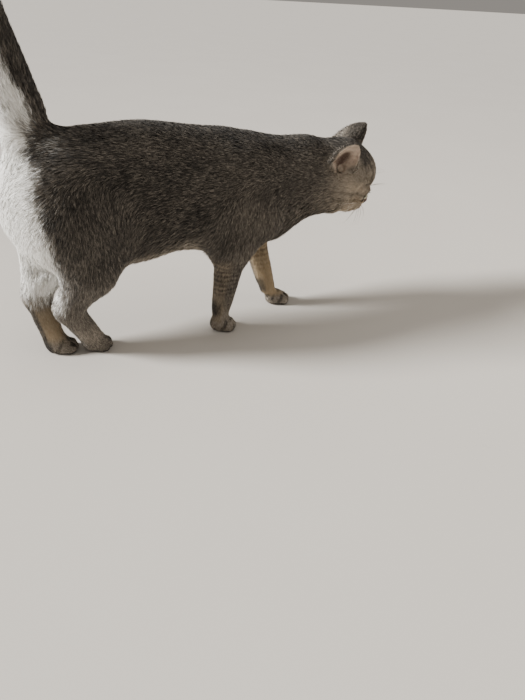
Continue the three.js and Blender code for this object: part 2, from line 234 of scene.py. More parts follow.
def ear_region(name, ear):
    base, tip = from_ear(ear, np.array([[0, -4, 12], [0, -3, 50]]))
    return region("ear_" + name, [base, tip], 11, 0.9, 2.8, 0.5, 4.8, 14, "ear_" + name)


NOSE_TIP = from_head([0, -60, -12])
SKULL = from_head([0, 0, 4])
TAIL_END = section("tail", 0.55)
TAIL_ROOT = section("tail", 0.31)

REGIONS = [
    region("back", [(0, -0.11, 0.235), (0, 0.06, 0.25), (0, 0.19, 0.245)],
           52, 3.6, 9.5, 0.75, 1.75, 24, "trunk"),
    region("belly", [(0, -0.05, 0.15), (0, 0.13, 0.145)], 34, 4.5, 12, 0.8, 1.5, 28, "trunk"),
    region("breast", [(-0.004, -0.17, 0.19), (0, -0.09, 0.15)], 36, 4, 11, 0.75, 1.6, 27, "neck"),
    region("neck", [from_head([2, 34, 6]), (0, -0.115, 0.235)], 42, 3.6, 9.5, 0.75, 1.8, 25, "neck"),
    region("rump", [(0, 0.215, 0.265), (0, 0.225, 0.15)], 34, 4.8, 14, 0.8, 1.7, 28, "rump"),
    region("tail", [TAIL_ROOT, TAIL_END], 24, 3.6, 10.5, 0.75, 2.2, 24, "tail"),
    region("skull", [SKULL, from_head([0, 26, 6])], 36, 1.8, 4.8, 0.58, 3.6, 20, "head"),
    region("cheek", [from_head([0, -14, -16]), from_head([0, 16, -18])],
           26, 2.5, 6.6, 0.62, 3.0, 24, "head"),
    region("muzzle", [from_head([0, -44, -18]), from_head([0, -30, -16])],
           13, 1.2, 2.9, 0.45, 5.2, 22, "head"),
]
for leg_name in LEGS:
    REGIONS += leg_regions(leg_name)
for ear_name, ear_shape in EARS.items():
    REGIONS.append(ear_region(ear_name, ear_shape))
PIECES = sorted({r["piece"] for r in REGIONS})
RADIAL = ("skull", "cheek", "muzzle")


def near_path(path, points):
    """The distance of each point from a path, and the path's direction there."""
    best = np.full(len(points), np.inf)
    heading = np.zeros((len(points), 3))
    for a, b in zip(path, path[1:]):
        axis = b - a
        size = np.linalg.norm(axis)
        t = np.clip((points - a) @ axis / size**2, 0, 1)
        d = spans(points - a - t[:, None] * axis)
        closer = d < best
        best[closer] = d[closer]
        heading[closer] = axis / size
    return best, heading


def survey(points):
    """Blends the regions at each point: their weights, the values of the coat and its lie."""
    weights = np.empty((len(points), len(REGIONS)), np.float32)
    lie = np.zeros((len(points), 3))
    for k, r in enumerate(REGIONS):
        distance, heading = near_path(r["path"], points)
        weights[:, k] = 1 / (0.02 + (distance / r["reach"]) ** 5)
        if r["name"] in RADIAL:
            heading = unit(points - NOSE_TIP)
        lie += weights[:, k, None] * heading
    weights /= weights.sum(1, keepdims=True)
    blend = {key: weights @ np.array([r[key] for r in REGIONS]) for key in COAT_KEYS}
    return weights, blend, unit(lie)


# ------------------------ the skin

FLESH = [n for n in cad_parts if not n.startswith(("eye", "nose"))]
SOLID_BODY = [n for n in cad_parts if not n.startswith("ear")]


def level_set(points, faces, cell, outside, inside):
    return openvdb.FloatGrid.createLevelSetFromPolygons(
        np.ascontiguousarray(points, np.float32),
        transform=openvdb.createLinearTransform(voxelSize=cell * MM),
        exBandWidth=outside,
        inBandWidth=inside,
        **{"triangles" if faces.shape[1] == 3 else "quads": np.ascontiguousarray(faces, np.uint32)},
    )


def joined(nodes):
    points, faces, count = [], [], 0
    for node in nodes:
        points.append(node_points(node))
        faces.append(triangles(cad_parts[node].data) + count)
        count += len(points[-1])
    return np.concatenate(points), np.concatenate(faces)


def outward_normals(points, quads):
    diagonal_a = points[quads[:, 2]] - points[quads[:, 0]]
    diagonal_b = points[quads[:, 3]] - points[quads[:, 1]]
    facing = np.cross(diagonal_a, diagonal_b)
    total = np.zeros_like(points)
    for corner in range(4):
        for axis in range(3):
            total[:, axis] += np.bincount(quads[:, corner], facing[:, axis], len(points))
    return unit(total)


def eased(points, quads, strength, rounds):
    """Evens out a closed mesh, each point by its own strength."""
    a = quads.ravel()
    b = np.roll(quads, -1, axis=1).ravel()
    valence = np.bincount(a, minlength=len(points))[:, None]
    for _ in range(rounds):
        mean = np.stack([np.bincount(a, points[b, k], len(points)) for k in range(3)], 1) / valence
        points = points + (mean - points) * strength[:, None]
    return points


def coat_form():
    """The coat's outer form as one closed mesh, its parting cuts sealed and facets eased."""
    points, faces = joined(SOLID_BODY)
    grid = level_set(points, faces, SHELL_CELL, 4, 2)
    points, _, quads = grid.convertToPolygons(isovalue=SEAL * MM)
    quads = quads[:, ::-1].astype(np.int64)
    points = points.astype(float)
    weights, _, _ = survey(points)
    soft = {"back": 1, "belly": 1, "breast": 1, "neck": 0.9, "rump": 1, "tail": 0.6, "skull": 0.35}
    soft["cheek"] = 0.3
    ease = [soft.get(r["name"], 0.8 if "thigh" in r["name"] else 0.12) for r in REGIONS]
    points = eased(points, quads, 0.6 * (weights @ np.array(ease)), 40)
    return points, quads


def skin_field():
    points, quads = coat_form()
    normals = outward_normals(points, quads)
    _, blend, _ = survey(points)
    points -= normals * (SEAL + blend["depth"][:, None]) * MM
    return level_set(points, quads, SKIN_CELL, 6, 5)


def patch(grid, low, high):
    """A block of the skin's field, the places of its cells and its first cell."""
    first = np.floor(np.asarray(low) / (SKIN_CELL * MM)).astype(int)
    last = np.ceil(np.asarray(high) / (SKIN_CELL * MM)).astype(int)
    values = np.empty(tuple(last - first), np.float32)
    grid.copyToArray(values, tuple(int(i) for i in first))
    steps = [np.arange(a, b, dtype=np.float32) for a, b in zip(first, last)]
    places = np.stack(np.meshgrid(*steps, indexing="ij"), -1).reshape(-1, 3) * SKIN_CELL * MM
    return values, places, tuple(int(i) for i in first)


def ear_profile(t, fullness, front):
    """How wide half an ear is and how far it is rolled, at shares of its height."""
    outline = (1 - fullness) * (1 - t**1.9) ** 0.72 + fullness * (1 - t**4.5) ** 0.6
    tucked = np.where(front, 0.62 + 0.38 * rise(t, 0, 0.4), 1)
    roll = np.radians((96 - 26 * fullness) * (1 - t) + (34 - 9 * fullness) * t)
    return EAR_HALF_WIDTH * outline * tucked, roll


def ear_mesh(ear, outer, inner, rows=44, columns=56):
    """A cupped sheet, its two faces set in from the coat's form."""
    u, t = np.meshgrid(np.linspace(-1, 1, columns + 1), np.linspace(0, 0.985, rows + 1))
    out = u * ear["side"]
    width, roll = ear_profile(t, np.where(out > 0, ear["fullness"], 0), out < 0)
    angle = u * roll
    sheets = []
    for inset in (outer, inner):
        radius = np.maximum(width + 0.5 - inset * 0.55, 0.4) / np.sin(np.minimum(roll, math.pi / 2))
        sheets.append(np.stack([
            (radius - inset) * np.sin(angle),
            (radius - inset) * (np.cos(angle) - 1) - inset,
            EAR_HEIGHT * t - inset * 0.6 * t,
        ], -1).reshape(-1, 3))
    row = columns + 1
    sheet = row * (rows + 1)
    i, j = np.meshgrid(np.arange(columns), np.arange(rows))
    a = (j * row + i).ravel()
    top = rows * row + np.arange(columns)
    low = np.arange(columns)
    left = np.arange(rows) * row
    right = left + columns
    b = a + sheet
    quads = np.concatenate([np.stack(four, 1) for four in (
        (a, a + row, a + row + 1, a + 1),
        (b, b + 1, b + row + 1, b + row),
        (low, low + 1, sheet + low + 1, sheet + low),
        (top, sheet + top, sheet + top + 1, top + 1),
        (left, sheet + left, sheet + left + row, left + row),
        (right, right + row, sheet + right + row, sheet + right),
    )])
    return from_ear(ear, np.concatenate(sheets)), quads


def eye_axes(side):
    """An eye's centre and axes in the head's frame: across, up and along its gaze."""
    outward = math.radians(GAZE_OUTWARD)
    gaze = np.array([side * math.sin(outward), -math.cos(outward), 0.06])
    gaze /= np.linalg.norm(gaze)
    across = unit(np.cross(gaze, [0, 0, 1.0]))
    return np.array([side * 24.0, -35, 0]), across, np.cross(across, gaze), gaze


def lid_opening(q, side):
    """How far points of the head lie outside the gap between one eye's lids."""
    centre, across, up, gaze = eye_axes(side)
    p = q - centre
    u, v = turned(p @ across, p @ up, 8 * side)
    half_width, half_height = EYE_OPENING
    radius = (half_width**2 + half_height**2) / (2 * half_height)
    shift = radius - half_height
    edge = np.maximum(np.hypot(u, v - shift), np.hypot(u, v + shift)) - radius
    return np.maximum(edge, 6.4 - p @ gaze)


MOUTH = [(-15, -44, -29), (-8, -52, -30.5), (0, -54, -27), (8, -52, -30.5), (15, -44, -29)]
PHILTRUM = [(0, -56.5, -17), (0, -54.5, -27)]


def ear_bowl(e):
    """The hollow of an ear and its canal, in the ear's own frame."""
    bowl = ball(e, (0, -17, 22), (13, 12, 21))
    canal = rod(e, (2, -14, 12), (5, -2, -6), 6.5, 4)
    return blended(bowl, canal, 3)


def shaped_head(grid):
    """Adds ears, lids, mouth and ear canals to the skin's field."""
    corners = from_head([[x, y, z] for x in (-66, 62) for y in (-66, 52) for z in (-50, 74)])
    values, places, first = patch(grid, corners.min(0), corners.max(0))
    shape = values.shape
    field = values.ravel() / MM
    cups = {}
    for name, ear in EARS.items():
        points, quads = ear_mesh(ear, 0.9, 3.1)
        cup = np.empty(shape, np.float32)
        level_set(points, quads, SKIN_CELL, 6, 3).copyToArray(cup, first)
        cups[name] = cup.ravel() / MM
    nearest = np.minimum.reduce([field, *cups.values()])
    band = np.flatnonzero((nearest < 5.5) & (field > -4.9))
    q = to_head(places[band]).astype(np.float32)
    d = field[band]
    for name, ear in EARS.items():
        e = ((q - ear["root"]) @ ear_turn(ear)).astype(np.float32)
        front = -ear["side"]
        d = blended(d, rod(e, (front * 19, -11, -4), (front * 18, -6, 20), 7, 3), 8)
        d = pressed(d, ear_bowl(e), 4)
        d = blended(d, cups[name][band], 3)
        d = pressed(d, rod(e, (2, -14, 12), (5, -2, -6), 6, 4), 2)
    for side in (-1, 1):
        centre, _, _, _ = eye_axes(side)
        lids = spans(q - centre) - (EYE_RADIUS + LID_THICKNESS)
        d = blended(d, lids, 4)
        d = pressed(d, lid_opening(q, side), 0.8)
    d = pressed(d, fold(q, MOUTH, 0.9), 2)
    d = pressed(d, fold(q, PHILTRUM, 0.7), 1.6)
    d = pressed(d, ball(q, (0, -59.5, -12.8), (7, 5.5, 5.5)), 1.5)
    field[band] = d
    grid.copyFromArray((field * MM).astype(np.float32).reshape(shape), ijk=first)


def to_paw(leg, points):
    """Points in a paw's own frame, in millimetres: x across the toes, y back from their tips."""
    heel = section(leg + "_paw", 0.012)
    toes_y = node_points(leg + "_paw")[:, 1].min()
    q = (points - [heel[0], toes_y, 0]) / MM
    x, y = turned(q[:, 0], q[:, 1], 4 if leg.endswith("left") else -4)
    return np.stack([x, y, q[:, 2]], 1).astype(np.float32)


def toe_grooves(q, radius):
    """How far points of a paw lie from the grooves between its toes."""
    grooves = []
    for x, y, lean in ((0, 0, 0), (-8.4, 4.5, -2.4), (8.4, 4.5, 2.4)):
        path = [(x, y, 2), (x * 0.95, y + 1.5, 11), (x * 0.7 - lean, y + 10, 17.5)]
        grooves.append(fold(q, path, radius))
    return np.minimum.reduce(grooves)


def shaped_paw(grid, leg):
    """Rounds the toes and parts them with grooves."""
    points = node_points(leg + "_paw")
    values, places, first = patch(grid, points.min(0) - 2 * MM, points.max(0) + 2 * MM)
    d = values.ravel() / MM
    q = to_paw(leg, places)
    for x, y, size in ((-4.6, 7.6, 7.9), (4.6, 7.6, 7.9), (-11, 12.6, 7.0), (11, 12.6, 7.0)):
        d = blended(d, ball(q, (x, y, size - 0.4), (4.9, 7.8, size)), 1.0)
    d = pressed(d, toe_grooves(q, 1.3), 1.8)
    d = pressed(d, q[:, 2], 0.6)
    grid.copyFromArray((d * MM).astype(np.float32).reshape(values.shape), ijk=first)


def placed(name, data):
    """Shades a mesh smooth, if it is one, and links an object that holds the data."""
    if isinstance(data, bpy.types.Mesh):
        data.shade_smooth()
    obj = bpy.data.objects.new(name, data)
    bpy.context.scene.collection.objects.link(obj)
    return obj


def mesh_object(name, points, corners, starts):
    """An object from its points, the corners of all its faces and where each face starts."""
    mesh = bpy.data.meshes.new(name)
    mesh.vertices.add(len(points))
    mesh.vertices.foreach_set("co", np.ascontiguousarray(points, np.float32).ravel())
    mesh.loops.add(corners.size)
    mesh.loops.foreach_set("vertex_index", np.ascontiguousarray(corners, np.int32).ravel())
    mesh.polygons.add(starts.size)
    mesh.polygons.foreach_set("loop_start", np.ascontiguousarray(starts, np.int32).ravel())
    mesh.update(calc_edges=True)
    return placed(name, mesh)


def closed_surface(name, points, quads):
    return mesh_object(name, points, quads[:, ::-1], np.arange(len(quads)) * 4)


def listed_mesh(name, points, faces):
    """An object from points and faces whose numbers of corners differ."""
    mesh = bpy.data.meshes.new(name)
    mesh.from_pydata(points.tolist(), [], faces)
    mesh.update()
    return placed(name, mesh)


def thinned(obj, keep, share):
    """Merges small faces where the keep weight is low."""
    group = obj.vertex_groups.new(name="thin")
    levels = np.round((1 - keep) * 4) / 4
    for level in np.unique(levels):
        members = np.flatnonzero(levels == level)
        group.add(members.tolist(), float(level), "REPLACE")
    thin = obj.modifiers.new("thin", "DECIMATE")
    thin.ratio = share
    thin.vertex_group = "thin"
    thin.use_collapse_triangulate = True
    evaluated = obj.evaluated_get(bpy.context.evaluated_depsgraph_get())
    mesh = bpy.data.meshes.new_from_object(evaluated)
    obj.modifiers.clear()
    obj.vertex_groups.clear()
    obj.data = mesh


def make_skin():
    grid = skin_field()
    shaped_head(grid)
    for leg in LEGS:
        shaped_paw(grid, leg)
    points, _, quads = grid.convertToPolygons(isovalue=0.0)
    skin = closed_surface("skin", points, quads)
    head = spans(to_head(points) - [0, -8, 8])
    keep = np.maximum(1 - rise(head, 58, 80), 1 - rise(points[:, 2] / MM, 22, 40))
    thinned(skin, keep, THINNED_TO)
    return skin


# ------------------------ markings
# The same masks colour the skin, at its own points, and the coat, where each tuft lies.

MASKS = ("white", "warm", "light", "dark", "pink", "bare", "canal")


class Masks(dict):
    """Masks from 0 to 1 over many points. What is laid on one keeps the greater value."""

    def __init__(self, count):
        super().__init__({name: np.zeros(count) for name in MASKS})

    def lay(self, **marks):
        for name, values in marks.items():
            self[name] = np.maximum(self[name], values)


def mark_body(masks, points, normals, head, tail):
    """White trousers and rear of the tail, a dark back and haunches, painted shade on the flanks and
    thighs, and a pale belly.
    """
    x, y, z = (points / MM).T
    nx, ny, nz = normals.T
    body = (1 - head) * (1 - tail)
    rear = y + 0.16 * np.clip(190 - z, 0, 120) + 0.2 * np.clip(z - 220, 0, 80)
    seat = rise(rear, 196, 222) * rise(306 - z, 0, 16) * (1 - tail)
    behind = rise(ny + 0.5 * rise(y, 200, 230) * rise(190 - z, 0, 70), 0.08, 0.72)
    masks.lay(white=seat * behind * (0.25 + 0.75 * rise(z, 70, 140)) * rise(z, 66, 84))
    masks.lay(white=tail * rise(ny + 0.35 * rise(370 - z, 0, 50), -0.3, 0.25))
    masks.lay(white=hump(z, 306, 34) * rise(y, 158, 178) * rise(ny, -0.2, 0.3))
    inner_thigh = rise(-nx * np.sign(x), 0.0, 0.5) * rise(y, 90, 170) * hump(z, 128, 66)
    masks.lay(white=0.9 * inner_thigh * (1 - head))
    # painted shade: the sides of the trunk and thighs, below the top of the back, are darkened
    masks.lay(dark=0.26 * body * rise(y, -50, 40) * rise(z, 118, 168) * rise(0.8 - nz, 0, 0.4))
    masks.lay(dark=0.3 * body * rise(nz, 0.55, 0.97) * rise(z, 215, 240))
    masks.lay(dark=0.4 * tail * rise(-ny, -0.3, 0.5))
    masks.lay(dark=0.5 * rise(y, 120, 190) * rise(z, 230, 285) * (1 - masks["white"]) * (1 - tail))
    masks.lay(light=0.6 * rise(-nz, 0.35, 0.9) * (1 - head) * rise(z, 100, 130) * rise(y, -70, -20))


def mark_leg(masks, leg, points, normals, share):
    """Bars on a foreleg, the stripe of a heel, warm inner sides and painted shade in the grooves between
    the toes.
    """
    x, y, z = (points / MM).T
    nx, ny, _ = normals.T
    thigh, shin, foot = (share[f"{leg}_{part}"] for part in ("thigh", "shin", "foot"))
    limb = np.clip(shin + foot, 0, 1)
    left = leg.endswith("left")
    inside = rise(-nx if left else nx, -0.2, 0.5)
    if leg.startswith("fore"):
        arm = np.clip(thigh * 1.6 + limb, 0, 1) * rise(134 - z, 0, 14)
        masks.lay(warm=arm * np.maximum(inside, 0.35 * rise(ny, 0, 0.5)) * rise(z, 14, 24))
        level = z + 0.12 * (y - section(leg + "_lower", 0.08)[1] / MM)
        level = level + 1.3 * np.sin(x * 0.17 + 0.6) + 0.8 * np.sin(y * 0.31)
        wave = np.sin(level * 2 * math.pi / BAR_PITCH)
        barred = arm * rise(level, 62, 80)
        masks.lay(dark=barred * rise(wave, -0.2, 0.9) * (0.62 - 0.42 * inside * rise(96 - z, 0, 8)))
        masks.lay(light=0.22 * barred * rise(-wave, 0.0, 0.7))
        masks.lay(dark=0.7 * limb * rise(ny, 0.3, 0.8) * hump(z, 40, 18))
    else:
        masks.lay(warm=0.8 * limb * inside * rise(z, 16, 30))
        heel = rise(ny, 0.35, 0.8) * rise(88 - z, 0, 10)
        masks.lay(dark=limb * heel * (0.95 if left else 0.3))
        masks.lay(dark=0.3 * foot * (1 - inside))
    masks.lay(light=limb * (0.15 + 0.2 * rise(55 - z, 0, 25)))
    # painted shade: dark lines along the grooves between the toes
    lines = rise(2.3 - toe_grooves(to_paw(leg, points), 0.3), 0, 1.7) * rise(22 - z, 0, 4)
    spots = rise(np.sin(x * 0.42 + 1) * np.sin(y * 0.36 + z * 0.2), 0.1, 0.6) * rise(46 - z, 0, 8)
    masks.lay(dark=foot * rise(4.4 - z, 0, 2.4))
    masks.lay(dark=foot * 0.85 * lines)
    masks.lay(dark=foot * 0.45 * spots)


def mark_face(masks, q, face):
    """A paler face, with painted light on its front, stripes on the brow, lines behind the eyes, dark lids
    and a pale chin.
    """
    x, y, z = q.T
    sides = np.maximum(rise(-z, -32, -4), 0.5 * rise(np.abs(x), 22, 34)) * (1 - 0.6 * rise(y, 14, 34))
    # the paler lower face and sides are the face's own colour; the front is made paler as painted light,
    # where it is turned from the light
    light = face * np.maximum(sides, 0.6 * rise(-y, 8, 30))
    masks.lay(light=light)
    masks.lay(warm=0.35 * light)
    near_head = rise(78 - spans(q), 0, 26)
    ring = hump(y - 0.35 * np.abs(x), 18, 15) * rise(-z + 26, 0, 20) * rise(np.abs(x), 14, 30)
    masks.lay(light=0.45 * ring * near_head)
    masks.lay(warm=0.8 * face * rise(-z, 18, 32) * rise(-y, 14, 34))
    masks.lay(white=0.35 * face * rise(-z, 24, 34) * rise(-y, 26, 42))
    for side in (-1, 1):
        outer = face * rise(x * side, 24, 34)
        slope = z + 0.38 * (y + 39.8)
        masks.lay(dark=0.38 * outer * rise(4.6 - np.abs(slope - 2.3), 0, 4.4) * rise(8 - y, 0, 14))
        masks.lay(dark=0.25 * outer * rise(4.0 - np.abs(slope + 8), 0, 3.8) * hump(y, -14, 16))
        stripes = np.maximum(hump(x * side, 7, 4), hump(x * side, 17, 4))
        masks.lay(dark=0.35 * face * stripes * rise(z, 12, 24) * rise(-y, -14, 6))
        rim = rise(2.8 - lid_opening(q, side), 0, 2.0)
        masks.lay(dark=face * rim * rise(-y, 20, 26))
        over_eye = fold(q, [(side * 16, -48, 8), (side * 25, -40, 12)], 0.1)
        masks.lay(warm=0.7 * face * rise(5 - over_eye, 0, 4))


def mark_ear(masks, name, points, normals, head, cover):
    """Pink hide in the cup, painted shade deep in the canal and a darker back."""
    ear = EARS[name]
    e = to_ear(ear, points).astype(np.float32)
    facing = (normals @ HEAD_TURN @ ear_turn(ear))[:, :2]
    inward = rise((facing * unit(np.array([0, -17]) - e[:, :2])).sum(1), -0.05, 0.4)
    open_side = rise(-e[:, 1], 1, 4) * inward
    hollow = rise(3.2 - np.maximum(ear_bowl(e), -9), 0, 3) * head
    masks.lay(pink=open_side * np.maximum(rise(cover, 0.05, 0.35), hollow))
    # painted shade: the deeper into the ear's hollow and canal, the darker
    depth = ball(e, (4 * ear["side"], -6, 18), (10, 9, 19))
    masks.lay(canal=0.95 * head * rise(-depth, -4.0, 4.5) * rise(inward, 0.3, 0.7))
    masks.lay(dark=cover * (1 - inward) * (0.15 + 0.25 * rise(e[:, 2], 16, 44)))


def markings(points, normals, weights):
    """All the masks at some points, from the weights of the regions there."""
    share = {r["name"]: weights[:, k] for k, r in enumerate(REGIONS)}
    ears = share["ear_right"] + share["ear_left"]
    head = np.clip(share["skull"] + share["cheek"] + share["muzzle"] + ears, 0, 1)
    q = to_head(points)
    masks = Masks(len(points))
    mark_body(masks, points, normals, head, share["tail"])
    for leg in LEGS:
        mark_leg(masks, leg, points, normals, share)
    mark_face(masks, q, head * (1 - np.clip(ears, 0, 1)))
    for name in EARS:
        mark_ear(masks, name, points, normals, head, share["ear_" + name])

    lids = np.minimum(lid_opening(q, -1), lid_opening(q, 1))
    nose = ball(q.astype(np.float32), (0, -56, -12.8), (6.4, 4.6, 5))
    masks.lay(bare=rise(1.1 - lids, 0, 0.8) * rise(-q[:, 1], 15, 20))
    masks.lay(bare=rise(0.9 - nose, 0, 0.8))
    masks.lay(bare=rise(1.4 - points[:, 2] / MM, 0, 1))
    masks["dark"] = masks["dark"] * (1 - masks["white"])
    # the painted shade of the ear canal darkens the coat there too
    masks.lay(dark=masks["canal"])
    masks["warm"] = masks["warm"] * (1 - 0.7 * masks["white"])
    masks["light"] = masks["light"] * (1 - 0.8 * masks["dark"])
    return {name: np.clip(values, 0, 1) for name, values in masks.items()}


def store(mesh, name, values):
    """Keeps one number, or one vector, for each point of a mesh."""
    values = np.ascontiguousarray(values, np.float32)
    kind, slot = ("FLOAT", "value") if values.ndim == 1 else ("FLOAT_VECTOR", "vector")
    mesh.attributes.new(name, kind, "POINT").data.foreach_set(slot, values.ravel())


def mesh_arrays(mesh):
    points = fetched(mesh.vertices, "co").astype(float)
    return points, fetched(mesh.vertex_normals, "vector").astype(float), triangles(mesh)


def mark_skin(skin):
    points, normals, _ = mesh_arrays(skin.data)
    weights, _, _ = survey(points)
    for name, values in markings(points, normals, weights).items():
        store(skin.data, name, values)
    store(skin.data, "root", points)


# ------------------------ the coat

PIECE_PATHS = {
    "trunk": [(0, -0.12, 0.215), (0, 0.24, 0.215)],
    "neck": [from_head([0, 20, -4]), (0, -0.08, 0.19)],
    "rump": [(0, 0.19, 0.30), (0, 0.20, 0.10)],
    "tail": [TAIL_ROOT, TAIL_END],
    "head": [from_head([0, -56, -14]), from_head([0, 50, 8])],
}
for leg_name in LEGS:
    PIECE_PATHS[leg_name] = [section(leg_name + "_lower", 0.11), section(leg_name + "_paw", 0.0)]
for ear_name, ear_shape in EARS.items():
    PIECE_PATHS["ear_" + ear_name] = list(from_ear(ear_shape, np.array([[0, -6, 0], [0, -4, 56]])))


def unwrapped(piece, points):
    """Places on a flat unwrap: round a piece's own axis, and along it."""
    start, end = np.array(PIECE_PATHS[piece], float)
    axis = end - start
    size = np.linalg.norm(axis)
    axis /= size
    aside = unit(np.cross(axis, [0.3, 0.2, 0.9] if abs(axis[2]) < 0.8 else [1.0, 0.1, 0.0]))
    other = np.cross(axis, aside)
    offset = points - start
    along, a, b = offset @ axis, offset @ aside, offset @ other
    turn = np.arctan2(a, b)
    radius = np.hypot(a, b)
    beyond = np.where(along < 0, -radius, np.where(along > size, radius, 0)) * 0.5
    v = along + beyond
    v = (v - v.min()) / max(np.ptp(v), 1e-6)
    return 0.01 + 0.98 * np.stack([turn / (2 * math.pi) + 0.5, v], 1)


def room_for_tufts(points, faces, crowd):
    a, b, c = (points[faces[:, k]] for k in range(3))
    return spans(np.cross(b - a, c - a)) / 2 * crowd[faces].mean(1)


def scattered(points, faces, crowd):
    """Evenly spread roots on a mesh: the face and the weights of its corners for each."""
    expected = np.cumsum(room_for_tufts(points, faces, crowd) / MM**2)
    count = int(expected[-1])
    at = (np.arange(count) + chance.random(count)) * (expected[-1] / count)
    face = np.minimum(np.searchsorted(expected, at), len(faces) - 1)
    u, v = chance.random((2, count))
    over = u + v > 1
    u[over], v[over] = 1 - u[over], 1 - v[over]
    return face, np.stack([1 - u - v, u, v], 1)


def carried(values, faces, face, share):
    """Values of a mesh's points, carried to places on its faces."""
    corners = values[faces[face]]
    return (corners * (share if values.ndim == 1 else share[..., None])).sum(1)


def clump_centres(points, size):
    """A jittered centre for the clump that each point belongs to."""
    cell = np.floor(points / size).astype(np.int64)
    mixed = cell[:, 0] * 73856093 ^ cell[:, 1] * 19349663 ^ cell[:, 2] * 83492791
    jitter = np.stack([((mixed * k) % 1009) / 1009.0 for k in (31, 57, 113)], 1)
    return (cell + 0.2 + 0.6 * jitter) * size


def grow_coat(skin):
    """Blades of fur on the skin, joined into one mesh for each piece of the coat."""
    points, normals, faces = mesh_arrays(skin.data)
    weights, blend, lie = survey(points)
    marks = markings(points, normals, weights)
    crowd = blend["crowd"] * (1 - marks["bare"]) * (1 - 0.93 * marks["canal"]) * (1 - 0.6 * marks["pink"])
    crowd = np.where(points[:, 2] < 1.2 * MM, 0, crowd)
    piece_of = np.array([PIECES.index(r["piece"]) for r in REGIONS])
    total = room_for_tufts(points, faces, crowd).sum() / MM**2
    crowd = crowd * CROWD * min(1, COAT_TRIANGLES / 3 / total)
    face, share = scattered(points, faces, crowd)
    root = carried(points, faces, face, share)
    normal = unit(carried(normals, faces, face, share))
    flow = carried(lie, faces, face, share)
    flow = unit(flow - (flow * normal).sum(1, keepdims=True) * normal)
    length, width, lift = (carried(blend[k], faces, face, share) for k in ("length", "width", "lift"))
    pink = carried(marks["pink"], faces, face, share)
    white = carried(marks["white"], faces, face, share)
    count = len(root)

    roll, bend, stretch, sway, tint = chance.random((5, count))
    pull = clump_centres(root, CLUMP_SIZE * MM) - root
    pull -= (pull * normal).sum(1, keepdims=True) * normal
    aside = np.cross(normal, flow)
    at_head = to_head(root)
    on_head = rise(80 - spans(at_head), 0, 12)
    trousers = white * hump(root[:, 2] / MM, 125, 60) * (root[:, 1] > 0.16)
    near_ear = np.minimum.reduce([spans(to_ear(ear, root) - [0, -8, 14]) for ear in EARS.values()])
    chin = rise(-at_head[:, 2], 25, 36) * rise(-at_head[:, 1], 14, 30)
    length = length * (0.72 + 0.5 * stretch) * (1 + 1.3 * chin * on_head) * MM
    length = length * (1 - 0.35 * pink) * (1 + 0.5 * trousers) * (1 - 0.4 * rise(34 - near_ear, 0, 12))
    width = width * (0.8 + 0.4 * bend) / math.sqrt(max(CROWD, 0.2)) * MM
    rising = np.radians(lift * (0.7 + 0.7 * bend))[:, None]
    heading = flow * np.cos(rising) + normal * np.sin(rising)
    heading = unit(heading + aside * (sway - 0.5)[:, None] * 0.36 + pull / (9 * MM) * 0.25)
    flat = unit(flow * 0.96 + aside * (sway - 0.5)[:, None] * 0.5 + normal * np.sin(rising) * 0.42)
    twist = ((roll - 0.5) * 2.4)[:, None]
    face_side = unit(np.cross(heading, normal))
    blade_side = face_side * np.cos(twist) + np.cross(heading, face_side) * np.sin(twist)
    middle = root + heading * length[:, None] * 0.5
    tip = middle + flat * length[:, None] * 0.5
    low = root - normal * 0.5 * MM
    half = (blade_side * width[:, None]) / 2
    corners = [low - half * 0.8, low + half * 0.8, middle + half * 0.72, middle - half * 0.72, tip]
    blades = np.stack(corners, 1)
    blades[..., 2] = np.maximum(blades[..., 2], FLOOR_GAP * MM)

    soft = normal + face_side * (np.sin(twist) * 0.45)
    shine = np.stack([unit(soft - heading * k) for k in (0.0, 0.0, 0.1, 0.1, -0.25)], 1)
    lying = root + flow * (length * 0.45)[:, None]
    colours = markings(lying, normal, carried(weights, faces, face, share))
    del colours["canal"]
    colours.update(root=root, tint=tint)
    owner = piece_of[weights[faces[face]].mean(1).argmax(1)]
    made = []
    for number, piece in enumerate(PIECES):
        members = np.flatnonzero(owner == number)
        parts = max(1, math.ceil(len(members) * 3 / MOST_IN_A_PIECE))
        chart = unwrapped(piece, root[members])
        order = np.argsort(chart[:, 1])
        for part, chosen in enumerate(np.array_split(order, parts)):
            picked = members[chosen]
            name = f"coat_{piece}" if parts == 1 else f"coat_{piece}_{part + 1}"
            values = {key: of_tufts[picked] for key, of_tufts in colours.items()}
            made.append(blade_mesh(name, blades[picked], shine[picked], chart[chosen], values))
    return made


def blade_mesh(name, blades, shine, chart, values):
    """One piece of the coat: each tuft is a four-sided base with a pointed tip."""
    count = len(blades)
    start = np.arange(count)[:, None]
    corners = start * 5 + [0, 1, 2, 3, 3, 2, 4]
    obj = mesh_object(name, blades.reshape(-1, 3), corners, start * 7 + [0, 4])
    mesh = obj.data
    store(mesh, "custom_normal", shine.reshape(-1, 3))
    store(mesh, "along", np.tile([0, 0, 0.5, 0.5, 1.0], count))
    for key, of_tufts in values.items():
        store(mesh, key, np.repeat(of_tufts, 5, axis=0))
    patch_at = np.array([[-1, -1], [1, -1], [1, 0], [-1, 0], [0, 1]]) * 0.0015
    places = (chart[:, None] + patch_at).reshape(-1, 2)[corners.ravel()]
    layer = mesh.uv_layers.new(name="OFBake")
    layer.uv.foreach_set("vector", places.astype(np.float32).ravel())
    return obj


# ------------------------ eyes, nose and whiskers

